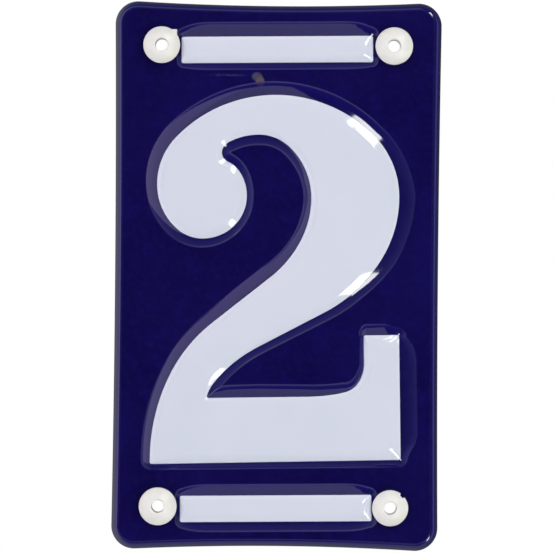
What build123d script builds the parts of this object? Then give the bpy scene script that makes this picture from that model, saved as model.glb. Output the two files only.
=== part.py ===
# House number plaque: a pressed steel plate, enamelled blue, with a raised white numeral and two raised
# white bars. Four plastic eyelets in its corners take the screws. The back of the rim lies on the wall.
import os
from math import atan2, cos, degrees, radians, sin, tan

from build123d import *

# Plate, in millimetres
plate_width = 71.5
plate_height = 120.0
side_draw = 0.35  # how far each long side draws in between its corners
end_draw = 0.8  # the same for the short sides
corner_radius = 5.0
rim_depth = 3.0  # from the wall to the front of the blue ground
edge_radius = 1.4  # the bend where the rim turns back
sheet = 1.2  # steel with enamel on both faces

# Pressed relief
relief_height = 1.6  # from the ground to the flat top of the numeral and the bars
wall_run = 1.4  # how far a sloping wall spreads on its way down
ledge = 0.36  # blue margin on a flat top, between the white and the wall
root = 0.3  # how far below the ground a pressing's walls are drawn, so that they meet it cleanly
root_edge = 0.05  # upright edge left below the sloping wall there
foot_corner = 0.48  # the tightest inside corner of a pressing, at that depth
glaze = 0.15  # coat of white enamel on a flat top

# Numeral
numeral_side_margin = 8.05  # from the side of the plate
numeral_end_margin = 19.7  # from the end of the plate
numeral_x = -0.5
numeral_z = -0.5
numeral_tilt = 1.2  # degrees, the pressing isn't quite square to the plate
bowl_stroke = 19.4  # the thick stroke at the right
arch_stroke = 8.6  # the thin stroke over the top
base_depth = 14.35
serif_width = 7.76
serif_height = 27.6  # from the foot of the numeral
serif_inset = 0.32  # how far the serif's right side lies inside the bowl's
scoop_height = 7.0  # of the hollow curve from the base up to the serif
scoop_reach = 4.1  # from the serif to where that curve tightens
scoop_rise = 0.9  # of the curve up to there
scoop_heading = 14  # degrees
base_reach = 12.6  # from the serif to where the base starts to rise
ball_radius = 9.6
crotch_reach = 8.37  # from the end of the arch to the inside corner between arch and ball
crotch_drop = 4.38
ball_reach = 5.72  # from that corner to the right side of the ball
ball_drop = 9.03  # from that corner to the ball's middle
press_margin = 0.9  # how much wider the blue margin is on the right
tip_radius = 0.5  # the outside corners of the pressings
crotch_radius = 1.6  # the white's inside corner under the arch
crotch_sweep = 0.98  # how far the outline turns towards that corner, as a share of an even curve's turn
neck_radius = 0.3  # the white's inside corner over the base
neck_sweep = 1.28
neck_slope = 44.4  # degrees, from the straight stroke down to that corner
press_crotch_sweep = 0.8  # both corners are gentler on the pressing
press_neck_sweep = 0.76
press_neck_slope = 41.4

# Eyelets
eyelet_inset_x = 10.35  # from the side of the plate to the eyelet
eyelet_inset_z = 9.5
screw_bore = 2.7
shank_wall = 0.5
shank_clearance = 0.1
seat_width = 0.35  # the ring that bears on the plate round its hole
head_diameter = 8.3
head_height = 1.6  # from its underside to the lip of the bore
brow_height = 0.7  # of the steep part round the head's edge
brow_width = 0.7
head_clearance = 0.2  # between the head and what it passes over
nib = 1.1  # moulding gate left on one eyelet, and the notch where another was cut off
gate_height = 0.5
gate_angle = 42

# Bars
bar_height = 6.0
bar_gap = 0.25  # between a bar's white end and the eyelet's head
bar_inset_top = 10.4  # from the end of the plate to the middle of the bar
bar_inset_bottom = 9.1
bar_shift = 0.27  # the top bar lies this far to the left, and the bottom one as far to the right
bar_tilt = 0.8

plateau = rim_depth + relief_height
wall_angle = atan2(relief_height, wall_run)
wall_rise = relief_height + root
wall_spread = wall_rise / tan(wall_angle)
back_inset = sheet * tan(wall_angle / 2)
inside_radius = ledge + wall_spread + foot_corner
numeral_width = plate_width - 2 * numeral_side_margin
numeral_height = plate_height - 2 * numeral_end_margin
eyelet_spacing_x = plate_width - 2 * eyelet_inset_x
eyelet_spacing_z = plate_height - 2 * eyelet_inset_z
bar_length = eyelet_spacing_x - head_diameter - 2 * bar_gap
bore_radius = screw_bore / 2
shank_radius = bore_radius + shank_wall
hole_radius = shank_radius + shank_clearance
seat_radius = hole_radius + seat_width
head_radius = head_diameter / 2
head_foot = plateau + glaze + head_clearance


def ahead(angle):
    """Unit vector along a heading in degrees."""
    return Vector(cos(radians(angle)), sin(radians(angle)))


def aside(angle):
    """Unit vector to the left of a heading, which is outwards on an outline drawn clockwise."""
    return Vector(-sin(radians(angle)), cos(radians(angle)))


def station(x, z, heading):
    """A place on an outline and the direction of the outline there."""
    return Vector(x, z), heading


def swept(start, end, heading, sweep):
    """Heading at one end of a stretch, from the heading at its other end. A sweep of 1 is an even curve."""
    chord = degrees(atan2(end[1] - start[1], end[0] - start[0]))
    return heading + 2 * sweep * ((chord - heading + 180) % 360 - 180)


def rounded(x, z, heading, turned, radius):
    """The two stations where a rounded corner starts and ends."""
    corner = Vector(x, z)
    reach = radius * tan(radians(abs(turned - heading) / 2))
    return (corner - ahead(heading) * reach, heading), (corner + ahead(turned) * reach, turned)


def draw(stations, grow):
    """Face of a closed outline through the stations, moved outwards by grow.

    Between two stations the outline is straight, or turns half its angle on one radius and half on another.
    Two stations in one place make a sharp corner.
    """
    moved = [(place + aside(heading) * grow, heading) for place, heading in stations]
    first_place, first_heading = moved[0]
    closing = moved[1:] + [(first_place, first_heading - 360)]
    with BuildLine() as path:
        for (start, leaving), (end, arriving) in zip(moved, closing):
            span = end - start
            if span.length < 0.001:
                continue
            if abs(arriving - leaving) < 0.01:
                Line(start, end)
                continue
            middle = (leaving + arriving) / 2
            early = aside(leaving) - aside(middle)
            late = aside(middle) - aside(arriving)
            radius = (span.X * late.Y - span.Y * late.X) / (early.X * late.Y - early.Y * late.X)
            join = start + early * radius
            TangentArc(start, join, tangent=ahead(leaving))
            TangentArc(join, end, tangent=ahead(middle))
    make_face(path.edges())


def numeral_outline(margin, crotch, neck, tip):
    """Stations of the numeral 2, clockwise from its lower left corner, about its own middle.

    Places that a stroke doesn't fix are shares of the numeral's width from its left side and of its height
    from its foot. The margin widens it on the right. The crotch under the arch is given by its sweep and
    radius, and the neck over the base by its slope, sweep and radius. Tip is the radius of the outside
    corners.
    """
    crotch_share, crotch_bend = crotch
    neck_fall, neck_share, neck_bend = neck
    right = numeral_width / 2
    left = -right
    top = numeral_height / 2
    foot = -top
    base = foot + base_depth
    serif_top = foot + serif_height
    serif_right = right - serif_inset
    serif_left = serif_right - serif_width

    def at(across, up):
        return left + across * numeral_width, foot + up * numeral_height

    bowl = at(1, 0.72)[1]
    arch_end = at(0.444, 1)[0], top - arch_stroke
    crown = at(0.496, 1)[0]
    crotch_corner = arch_end[0] - crotch_reach, arch_end[1] - crotch_drop
    ball_side = crotch_corner[0] + ball_reach, crotch_corner[1] - ball_drop
    ball_foot = ball_side[0] - ball_radius, ball_side[1] - ball_radius
    upper, upper_end = at(0.253, 0.384), at(0.485, 0.505)
    lower, lower_end = at(0.697, 0.404), at(0.430, 0.312)
    neck_corner = lower_end[0] - (lower_end[1] - base) / tan(radians(neck_fall)), base
    rise = degrees(atan2(upper_end[1] - upper[1], upper_end[0] - upper[0]))
    fall = degrees(atan2(lower_end[1] - lower[1], lower_end[0] - lower[0]))
    crotch_entry = swept(arch_end, crotch_corner, 180, crotch_share)
    crotch_exit = swept(crotch_corner, ball_side, 270, crotch_share)
    neck_entry = swept(lower_end, neck_corner, fall, neck_share)
    return [
        station(left, foot + tip, 90),
        station(*upper, rise),
        station(*upper_end, rise),
        station(right - bowl_stroke, bowl, 90),
        station(*arch_end, 180),
        *rounded(*crotch_corner, crotch_entry, crotch_exit, crotch_bend),
        station(*ball_side, 270),
        station(*ball_foot, 180),
        station(*at(0.038, 0.757), 90),
        station(crown, top, 0),
        station(right + margin, bowl, -90),
        station(*lower, fall),
        station(*lower_end, fall),
        *rounded(*neck_corner, neck_entry, 0, neck_bend),
        station(serif_left - base_reach, base, 0),
        station(serif_left - scoop_reach, base + scoop_rise, scoop_heading),
        station(serif_left, base + scoop_height, 90),
        *rounded(serif_left, serif_top, 90, 0, tip),
        *rounded(serif_right + margin, serif_top, 0, -90, tip),
        *rounded(serif_right + margin, foot, -90, -180, tip),
        station(left + tip, foot, -180),
    ]


def bar_outline(length, tip):
    """Stations of a bar, clockwise from its lower left corner, about its own middle."""
    return [
        *rounded(-length / 2, -bar_height / 2, 180, 90, tip),
        *rounded(-length / 2, bar_height / 2, 90, 0, tip),
        *rounded(length / 2, bar_height / 2, 0, -90, tip),
        *rounded(length / 2, -bar_height / 2, -90, -180, tip),
    ]


def facing(height, x, z, tilt):
    """Plane that faces the viewer at a height above the wall, with its middle at x, z."""
    across = (cos(radians(tilt)), 0, sin(radians(tilt)))
    return Plane(origin=(x, -height, z), x_dir=across, z_dir=(0, -1, 0))


def numeral_plane(height):
    return facing(height, numeral_x, numeral_z, numeral_tilt)


def top_bar_plane(height):
    return facing(height, -bar_shift, plate_height / 2 - bar_inset_top, bar_tilt)


def bottom_bar_plane(height):
    return facing(height, bar_shift, bar_inset_bottom - plate_height / 2, bar_tilt)


def pressing(plane, outline, drop, inset):
    """Solid with a flat top and sloping walls, rooted below the ground.

    The drop and the inset move it down and in, to the back of the sheet.
    """
    with BuildPart() as raised:
        with BuildSketch(plane(rim_depth - drop - root - root_edge)):
            draw(outline, ledge - inset + wall_spread)
        extrude(amount=root_edge + wall_rise)
        top = raised.faces().filter_by(Plane.XZ).sort_by(Axis.Y)[0]
        chamfer(top.edges(), wall_spread, wall_rise, reference=top)
    return raised.part


def plate_outline(inset):
    """The plate's outline, moved in by inset: four shallow hollow arcs with rounded corners.

    The arcs meet a little outside the plate's overall size, and the rounding of the corners takes that off.
    """
    half_width = plate_width / 2
    half_height = plate_height / 2
    proud_x = 2 * corner_radius * side_draw / (half_height - 2 * corner_radius)
    proud_z = 2 * corner_radius * end_draw / (half_width - 2 * corner_radius)
    corner_x = half_width + proud_x - inset
    corner_z = half_height + proud_z - inset
    side_x = half_width - side_draw - inset
    end_z = half_height - end_draw - inset
    with BuildLine() as path:
        ThreePointArc((-corner_x, -corner_z), (-side_x, 0), (-corner_x, corner_z))
        ThreePointArc((-corner_x, corner_z), (0, end_z), (corner_x, corner_z))
        ThreePointArc((corner_x, corner_z), (side_x, 0), (corner_x, -corner_z))
        ThreePointArc((corner_x, -corner_z), (0, -end_z), (-corner_x, -corner_z))
    face = make_face(path.edges())
    fillet(face.vertices(), corner_radius - inset)


press_crotch = (press_crotch_sweep, inside_radius)
press_neck = (press_neck_slope, press_neck_sweep, inside_radius)
numeral_press = numeral_outline(press_margin, press_crotch, press_neck, tip_radius)
bar_press = bar_outline(bar_length - 2 * ledge, tip_radius)
pressings = [(numeral_plane, numeral_press), (top_bar_plane, bar_press), (bottom_bar_plane, bar_press)]
raised = [pressing(plane, outline, 0, 0) for plane, outline in pressings]
hollows = [pressing(plane, outline, sheet, back_inset) for plane, outline in pressings]

# One sheet: the rim is bent back, and the numeral and the bars are pressed forward, hollow behind.
with BuildPart() as plate:
    with BuildSketch(Plane.XZ):
        plate_outline(0)
    extrude(amount=rim_depth)
    front = plate.faces().sort_by(Axis.Y)[0]
    fillet(front.edges(), edge_radius)
    add(raised)
    with BuildSketch(Plane.XZ):
        plate_outline(sheet)
    extrude(amount=rim_depth - sheet, mode=Mode.SUBTRACT)
    add(hollows, mode=Mode.SUBTRACT)
    with BuildSketch(Plane.XZ):
        with GridLocations(eyelet_spacing_x, eyelet_spacing_z, 2, 2):
            Circle(hole_radius)
    extrude(amount=rim_depth, mode=Mode.SUBTRACT)
plate.part.label = "plate"

os.makedirs("parts", exist_ok=True)
export_step(plate.part, "parts/plate.step")

# The white enamel lies on the flat tops.
white_crotch = (crotch_sweep, crotch_radius)
white_neck = (neck_slope, neck_sweep, neck_radius)
white_numeral = numeral_outline(0, white_crotch, white_neck, 0)
white_bar = bar_outline(bar_length, 0)
coats = {
    "numeral_glaze": (numeral_plane, white_numeral),
    "top_bar_glaze": (top_bar_plane, white_bar),
    "bottom_bar_glaze": (bottom_bar_plane, white_bar),
}
for name, (plane, outline) in coats.items():
    with BuildPart() as coat:
        with BuildSketch(plane(plateau)):
            draw(outline, 0)
        extrude(amount=glaze)
    coat.part.label = name
    export_step(coat.part, f"parts/{name}.step")

# Each eyelet is turned about its screw: a shank in the plate's hole, a neck that lifts the head over the
# end of the bar beside it, and a domed head.
corners = {
    "eyelet_top_left": (-1, 1),
    "eyelet_top_right": (1, 1),
    "eyelet_bottom_left": (-1, -1),
    "eyelet_bottom_right": (1, -1),
}
gates = {"eyelet_top_left": Mode.ADD, "eyelet_bottom_right": Mode.SUBTRACT}
for name, (side, end) in corners.items():
    x = side * eyelet_spacing_x / 2
    z = end * eyelet_spacing_z / 2
    with BuildPart() as eyelet:
        with BuildSketch(Plane(origin=(x, 0, z), x_dir=(1, 0, 0), z_dir=(0, 0, -1))):
            with BuildLine():
                Polyline(
                    (head_radius, head_foot),
                    (seat_radius, head_foot),
                    (seat_radius, rim_depth),
                    (shank_radius, rim_depth),
                    (shank_radius, 0),
                    (bore_radius, 0),
                    (bore_radius, head_foot + head_height),
                    (head_radius - brow_width, head_foot + brow_height),
                    close=True,
                )
            make_face()
        revolve(axis=Axis((x, 0, z), (0, -1, 0)))
        if name in gates:
            with BuildSketch(facing(head_foot, x, z, gate_angle)):
                with Locations((head_radius, 0)):
                    Rectangle(nib, nib)
            extrude(amount=gate_height, mode=gates[name])
    eyelet.part.label = name
    export_step(eyelet.part, f"parts/{name}.step")
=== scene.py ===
# %% [markdown]
# # A house number plaque in enamelled steel
#
# The real plaque is one thin steel sheet. Its rim is bent back, a numeral and two bars are pressed forward,
# dark blue glass enamel is fired over everything, and white enamel is fired over the raised fields. Four
# plastic eyelets sit in the corner holes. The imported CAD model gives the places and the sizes. Here each
# piece gets its soft bends, its gloss and its small flaws.

# %% Load the frame
import math

import bpy
import numpy as np
from mathutils import Matrix, Vector
from mathutils.geometry import delaunay_2d_cdt


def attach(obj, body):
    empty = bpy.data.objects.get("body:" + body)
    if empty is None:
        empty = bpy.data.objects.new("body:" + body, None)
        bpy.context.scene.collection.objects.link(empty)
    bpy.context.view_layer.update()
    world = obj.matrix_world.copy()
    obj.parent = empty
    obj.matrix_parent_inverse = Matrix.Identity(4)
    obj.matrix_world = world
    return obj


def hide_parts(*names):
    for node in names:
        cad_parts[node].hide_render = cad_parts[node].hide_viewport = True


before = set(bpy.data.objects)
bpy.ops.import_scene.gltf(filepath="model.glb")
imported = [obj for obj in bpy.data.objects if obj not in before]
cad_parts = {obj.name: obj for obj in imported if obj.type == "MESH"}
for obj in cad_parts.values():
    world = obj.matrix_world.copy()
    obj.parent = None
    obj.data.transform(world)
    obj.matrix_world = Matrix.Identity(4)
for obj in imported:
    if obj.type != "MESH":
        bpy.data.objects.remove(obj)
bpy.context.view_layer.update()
print("CAD nodes:", sorted(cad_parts))

# %% [markdown]
# ## Outlines
#
# A letter cutter draws a numeral with a few stations: places where the direction of the edge is known.
# Between two stations the edge is straight, or it turns half its angle on one radius and half on another. A
# Bezier curve could do the same, but here arcs are better, because an outline moved sideways is then still
# made of arcs, and its direction is known at each point. All lengths are in millimetres until a mesh is
# made.

# %% Directions and corners
MM = 0.001


def ahead(heading):
    """Unit vectors along headings in degrees: (cos, sin)."""
    turn = np.radians(heading)
    return np.stack([np.cos(turn), np.sin(turn)], axis=-1)


def aside(heading):
    """Unit vectors to the left of headings, (-sin, cos): outwards on an outline that is drawn clockwise."""
    turn = np.radians(heading)
    return np.stack([-np.sin(turn), np.cos(turn)], axis=-1)


def swept(start, end, heading, sweep):
    """Heading at one end of a stretch, from the one at its other end.

    It turns by twice the angle to the chord, times sweep.
    """
    chord = math.degrees(math.atan2(end[1] - start[1], end[0] - start[0]))
    return heading + 2 * sweep * ((chord - heading + 180) % 360 - 180)


def rounded(corner, heading, turned, radius):
    """The two stations of a rounded corner, each radius * tan(half the turn) away from the corner."""
    reach = radius * math.tan(math.radians(abs(turned - heading) / 2))
    corner = np.array(corner)
    return (corner - ahead(heading) * reach, heading), (corner + ahead(turned) * reach, turned)


print("a right-angled corner of radius 1 starts at", rounded((0, 0), 90, 0, 1)[0][0])

# %% Points along an outline
STEP, TURN_STEP = 0.4, 5.0


def trace(stations, counts=None):
    """Points, headings and stretch numbers along a closed outline.

    On a curved stretch P(h) = start + R * (aside(h0) - aside(h)), with the heading h running evenly from
    h0, and R the first radius up to the middle heading and the second one after it. Counts are the points
    on each stretch: one for each STEP in mm or TURN_STEP in degrees, unless they are given.
    """
    places = np.array([place for place, _ in stations])
    leaving = np.array([heading for _, heading in stations], float)
    spans = np.roll(places, -1, axis=0) - places
    arriving = np.append(leaving[1:], leaving[0] - 360)
    turns = arriving - leaving
    if counts is None:
        by_length = np.linalg.norm(spans, axis=1) / STEP
        counts = 2 * np.ceil(np.maximum(by_length, np.abs(turns) / TURN_STEP) / 2).astype(int) + 2
    points, headings, marks = [], [], []
    for i, (start, span, h0, turn, count) in enumerate(zip(places, spans, leaving, turns, counts)):
        share = np.arange(count) / count
        heading = h0 + turn * share
        if abs(turn) < 0.01:
            here = start + span * share[:, None]
        else:
            middle = h0 + turn / 2
            early = aside(h0) - aside(middle)
            late = aside(middle) - aside(h0 + turn)
            first, second = np.linalg.solve(np.stack([early, late], axis=1), span)
            here = np.where(
                (share < 0.5)[:, None],
                start + first * (aside(h0) - aside(heading)),
                start + first * early + second * (aside(middle) - aside(heading)),
            )
        points.append(here)
        headings.append(heading)
        marks.append(i + share)
    return np.concatenate(points), np.concatenate(headings), np.concatenate(marks), counts


print("outlines have a point every", STEP, "mm or", TURN_STEP, "degrees")

# %% [markdown]
# ## The numeral and the bars
#
# The 2 has a thick bowl, a thin arch that ends in a ball, a straight stroke down to the left, and a base
# with a serif. The stations start from the sizes of the CAD model and are fitted to the photograph by a few
# tenths of a millimetre, so the dressed surfaces lie where the solids are and the white keeps the outline
# that is seen.

# %% Stations of the numeral
WIDTH, HEIGHT, TIP = 55.4, 80.6, 0.45
NUMERAL_SPOT = (-0.5, -0.5, 1.2)
BASE_DEPTH, STEM, ARCH, BOWL_INSET = 14.35, 19.4, 8.85, 0.15
SERIF_INSET, SERIF_WIDTH, SERIF_HEIGHT = 0.55, 7.76, 27.6
CROTCH_FROM_ARCH, CROTCH_RADIUS, CROTCH_SWEEPS = (9.2, 4.7), 2.2, (0.98, 0.87)
BALL_FROM_CROTCH, BALL_REACH = (6.55, -8.46), (9.6, 9.4)
NECK_SLOPE, NECK_RADIUS, NECK_SWEEP = 44.0, 0.3, 1.28
SCOOP = ((-12.6, 0.0, 0), (-4.1, 0.9, 14), (0.0, 7.0, 90))
FOOT_LEFT, FOOT_RIGHT, FOOT_HEADING = 0.05, 0.27, -180.25


def numeral_stations(tip):
    """Stations of the 2, clockwise from its lower left corner, about its own middle.

    Tip is the radius of the outside corners.
    """
    right, top = WIDTH / 2, HEIGHT / 2
    left, foot = -right, -top
    base, serif_top = foot + BASE_DEPTH, foot + SERIF_HEIGHT
    serif_right = right - SERIF_INSET
    serif_left = serif_right - SERIF_WIDTH

    def at(across, up):
        return np.array([left + across * WIDTH, foot + up * HEIGHT])

    bowl = at(1, 0.72)[1]
    arch_end = np.array([at(0.444, 1)[0], top - ARCH])
    crotch = arch_end - CROTCH_FROM_ARCH
    ball_side = crotch + BALL_FROM_CROTCH
    upper, upper_end = at(0.2545, 0.3825), at(0.486, 0.504)
    lower, lower_end = at(0.696, 0.4055), at(0.430, 0.3135)
    neck = np.array([lower_end[0] - (lower_end[1] - base) / math.tan(math.radians(NECK_SLOPE)), base])
    rise = math.degrees(math.atan2(*(upper_end - upper)[::-1]))
    fall = math.degrees(math.atan2(*(lower_end - lower)[::-1]))
    crotch_entry = swept(arch_end, crotch, 180, CROTCH_SWEEPS[0])
    crotch_exit = swept(crotch, ball_side, 270, CROTCH_SWEEPS[1])
    neck_entry = swept(lower_end, neck, fall, NECK_SWEEP)
    return [
        ((left, foot + FOOT_LEFT + tip), 90),
        (upper, rise),
        (upper_end, rise),
        ((right - STEM, bowl), 90),
        (arch_end, 180),
        *rounded(crotch, crotch_entry, crotch_exit, CROTCH_RADIUS),
        (ball_side, 270),
        (ball_side - BALL_REACH, 180),
        (at(0.0425, 0.757), 90),
        (at(0.508, 0.9975), 0),
        ((right - BOWL_INSET, bowl), -90),
        (lower, fall),
        (lower_end, fall),
        *rounded(neck, neck_entry, 0, NECK_RADIUS),
        *(((serif_left + across, base + up), heading) for across, up, heading in SCOOP),
        *rounded((serif_left, serif_top), 90, 0, tip),
        *rounded((serif_right, serif_top), 0, -90, tip),
        *rounded((serif_right, foot + FOOT_RIGHT), -90, FOOT_HEADING, tip),
        ((left + tip, foot + FOOT_LEFT), FOOT_HEADING),
    ]


print("numeral outline:", len(trace(numeral_stations(TIP))[0]), "points")

# %% Stations of a bar
BAR_LENGTH, BAR_HEIGHT = 41.9, 5.78
TOP_BAR_SPOT = (-0.25, 49.53, 0.8)
BOTTOM_BAR_SPOT = (0.25, -50.8, 0.8)


def bar_stations(tip):
    """Stations of a bar with rounded corners, clockwise from its lower left corner, about its own middle."""
    half, up = BAR_LENGTH / 2, BAR_HEIGHT / 2
    corners = [((-half, -up), 180), ((-half, up), 90), ((half, up), 0), ((half, -up), -90)]
    return [station for corner, heading in corners for station in rounded(corner, heading, heading - 90, tip)]


def placed(points, spot):
    """Points turned by the spot's tilt and moved to its middle."""
    x, z, tilt = spot
    return points[..., :1] * ahead(tilt) + points[..., 1:] * aside(tilt) + (x, z)


print("bar outline:", len(trace(bar_stations(TIP))[0]), "points")

# %% [markdown]
# ## The section of the relief
#
# Steel that is pressed into an open die bends more and more towards its foot: from the flat top it turns
# over a wide shoulder, gets steeper all the way down, and meets the ground in a crease. So the section is
# half a parabola. A Bevel modifier could round the CAD edges, but the width of this wall changes along the
# outline, because the two dies stood a little out of line: it is wide above and on the right, and narrow
# below and inside the bowl.

# %% Draw the section once
GROUND, RELIEF, SHEET = 3.0, 1.6, 1.2
PLATEAU = GROUND + RELIEF
SHARES = np.concatenate([np.linspace(0, 0.85, 15), [0.9, 0.94, 0.97, 1.0]])
BACK_SHARES = SHARES[::3]
print("section:", len(SHARES), "points, drop at half way", RELIEF * 0.5**2, "mm")

# %% [markdown]
# ## Rings
#
# A pressing is its section carried along its outline. Each point of the section gives one ring: the outline
# moved sideways. Two lists of knots say how far inside the outline the shoulder starts and how far outside
# it the foot lies. A third list says how strong the pale line along the foot is: a painted reflection.
# Outside corners get rounder towards the flat top. In the sharp inside corner over the base two walls meet
# in a valley: there each ring crosses itself, so its loop is cut off and its points are spaced out again.

# %% Carry the section along an outline
TIP_GROWTH, CREASE_WIDTH = 1.8, 0.16
VALLEY = (13.0, 14.5, 16.0)


def along(marks, knots):
    """Value at each mark, straight between knots of (mark, value)."""
    places, values = np.array(knots).T
    return np.interp(marks, places, values)


def spaced(line, count):
    """So many points along a line of points, evenly spaced, without its last one."""
    run = np.concatenate([[0], np.cumsum(np.linalg.norm(np.diff(line, axis=0), axis=1))])
    places = np.arange(count) / count * run[-1]
    return np.stack([np.interp(places, run, line[:, 0]), np.interp(places, run, line[:, 1])], axis=1)


def crossing(one, other):
    """Where two lines of points cross: a segment of each and the point, or None.

    P = p + r s, with s = (q - p) x t / r x t, for a segment from p along r and one from q along t.
    """
    p, r = one[:-1, None], np.diff(one, axis=0)[:, None]
    q, t = other[None, :-1], np.diff(other, axis=0)[None]

    def cross(a, b):
        return a[..., 0] * b[..., 1] - a[..., 1] * b[..., 0]

    area = cross(r, t)
    area = np.where(np.abs(area) < 1e-12, np.inf, area)
    on_one, on_other = cross(q - p, t) / area, cross(q - p, r) / area
    i, j = np.nonzero((on_one >= 0) & (on_one < 1) & (on_other >= 0) & (on_other < 1) & np.isfinite(area))
    if len(i) == 0:
        return None
    return i[0], j[0], one[i[0]] + r[i[0], 0] * on_one[i[0], j[0]]


class Pressing:
    """A raised field: its outline, where it lies, and its wall's width inside and outside the outline."""

    def __init__(self, stations, spot, inner, outer, crease, widest_tip, valley=None):
        self.stations, self.spot, self.widest_tip = stations, spot, widest_tip
        _, _, self.mark, self.counts = trace(stations(TIP))
        self.inner, self.outer = along(self.mark, inner), along(self.mark, outer)
        self.crease = along(self.mark, crease)
        self.valley = np.searchsorted(self.mark, valley) if valley else None

    def ring(self, u):
        """Outline + outward * u, with its outside corners rounded to suit u.

        The valley is cut where the ring crosses itself.
        """
        tip = min(TIP + TIP_GROWTH * max(0, -u.min()), self.widest_tip)
        points, heading, _, _ = trace(self.stations(tip), self.counts)
        moved = points + aside(heading) * u[:, None]
        if self.valley is not None:
            first, corner, last = self.valley
            down, up = moved[first : corner + 1], moved[corner : last + 1]
            met = crossing(down[:-1], up[1:])
            if met:
                i, j, where = met
                down, up = np.vstack([down[: i + 1], where]), np.vstack([where, up[j + 2 :]])
            valley = [spaced(down, corner - first), spaced(up, last - corner)]
            moved = np.vstack([moved[:first], *valley, moved[last:]])
        return placed(moved, self.spot)

    def reach(self, share):
        """Distance from the outline at a share of the wall: -inner at its top, outer at its foot."""
        return (self.inner + self.outer) * share - self.inner

    def tilt(self, share):
        """Slope angle of the wall, from drop = RELIEF * share^2."""
        return np.arctan(2 * RELIEF * share / (self.inner + self.outer))

    def drop(self, u):
        """Drop of the front surface at a distance from the outline."""
        return RELIEF * np.clip((u + self.inner) / (self.inner + self.outer), 0, 1) ** 2

    def painted_sheen(self, gap):
        """Strength of the painted sheen line at a gap from the foot: exp(-(gap / CREASE_WIDTH)^2), times the
        crease.
        """
        return np.exp(-((gap / CREASE_WIDTH) ** 2)) * self.crease


numeral_inner = [(0, 1.9), (3, 1.7), (4, 1.8), (5, 1.7), (6, 1.8), (7, 1.9), (9, 1.9), (9.45, 1.7)]
numeral_inner += [(9.7, 1.2), (10.15, 1.3), (10.4, 2.5), (11, 2.4), (11.7, 2.5), (12, 2.0), (13, 1.9)]
numeral_inner += [(13.7, 1.9), (14, 1.2), (16, 1.2), (17, 1.3), (18, 1.7), (20, 1.8), (20.7, 2.0)]
numeral_inner += [(21, 2.4), (22, 2.4), (22.2, 2.2), (22.8, 2.2), (23, 2.4), (24, 2.4), (24.2, 2.0)]
numeral_inner += [(26, 1.9)]
numeral_outer = [(0, 1.9), (0.5, 2.1), (1, 2.4), (1.5, 2.7), (2, 2.7), (2.5, 1.9), (3, 1.5), (3.5, 1.8)]
numeral_outer += [(4, 2.1), (4.6, 2.0), (5, 1.85), (6, 1.85), (6.5, 1.6), (7, 1.3), (7.5, 1.5), (8, 1.8)]
numeral_outer += [(8.5, 2.1), (9, 2.4), (9.5, 3.0), (10, 2.9), (10.5, 2.4), (10.75, 2.8), (11, 3.5)]
numeral_outer += [(11.5, 2.9), (11.75, 2.0), (12, 1.8), (13, 1.6), (13.5, 1.7), (14, 1.9), (15, 2.1)]
numeral_outer += [(15.2, 2.6), (15.5, 2.7), (16, 2.5), (17, 2.0), (17.5, 1.4), (18, 0.9), (19, 0.7)]
numeral_outer += [(19.5, 1.4), (20, 2.3), (20.6, 2.3), (20.85, 1.95), (21, 1.6), (22, 1.6), (22.03, 2.2)]
numeral_outer += [(22.07, 2.9), (22.12, 3.4), (22.2, 3.7), (22.82, 3.7), (22.89, 3.2), (22.95, 2.2)]
numeral_outer += [(23, 1.6), (24, 1.6), (24.3, 1.4), (25, 1.2), (25.5, 1.5), (26, 1.9)]
# Strength of the painted sheen line along the foot of the numeral, mark by mark.
numeral_crease = [(0, 0.15), (0.6, 0.2), (1, 0.35), (1.5, 0.8), (2, 1), (8, 1), (8.4, 0.3), (9, 0.15)]
numeral_crease += [(9.4, 0.3), (9.6, 0.9), (10, 1), (10.4, 0.9), (10.6, 0.4), (10.8, 0.12), (11.3, 0.12)]
numeral_crease += [(11.5, 0.4), (11.7, 0.9), (12, 1), (17.5, 1), (18, 0.3), (19, 0.2), (19.5, 0.6), (20, 1)]
numeral_crease += [(20.6, 0.7), (20.8, 0.1), (24, 0.1), (24.2, 0.9), (24.9, 0.9), (25, 0.2), (26, 0.15)]


def bar_inner(above):
    """Shoulder widths round a bar."""
    return [(0, 1.9), (1, 1.5), (2, 1.5), (3, above), (4, above), (5, 1.7), (6, 1.7), (7, 1.9), (8, 1.9)]


def bar_outer(above, below):
    """Wall widths round a bar: narrow at the ends, and drawn in near them."""
    widening = [(0, 0.65), (0.04, 0.85), (0.08, 0.96), (0.13, 1.0)]
    side = widening + [(0.87, 1.0), (0.92, 0.96), (0.96, 0.85), (1, 0.65)]
    knots = [(1, 0.9), (2, 0.9), *((3 + at, above * level) for at, level in side), (5, 1.1), (6, 1.1)]
    return [(0, below * 0.65), *knots, *((7 + at, below * level) for at, level in side)]


NUMERAL_TIP, BAR_TIP, EVEN_CREASE = 3.6, 2.75, [(0, 1)]
numeral_press = Pressing(
    numeral_stations, NUMERAL_SPOT, numeral_inner, numeral_outer, numeral_crease, NUMERAL_TIP, VALLEY
)
top_bar_press = Pressing(
    bar_stations, TOP_BAR_SPOT, bar_inner(1.9), bar_outer(3.1, 1.3), EVEN_CREASE, BAR_TIP
)
bottom_bar_press = Pressing(
    bar_stations, BOTTOM_BAR_SPOT, bar_inner(2.3), bar_outer(2.3, 2.1), EVEN_CREASE, BAR_TIP
)
pressings = [numeral_press, top_bar_press, bottom_bar_press]
print("pressed outlines:", [len(p.mark) for p in pressings], "points")

# %% [markdown]
# ## One sheet, closed all round
#
# The plate is collected as rings of points, with bands of quads between them and triangles on the flats. A
# grid with raised points would be simpler, but its squares would cut across the curved edges. Following the
# outlines keeps each highlight smooth.

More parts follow.
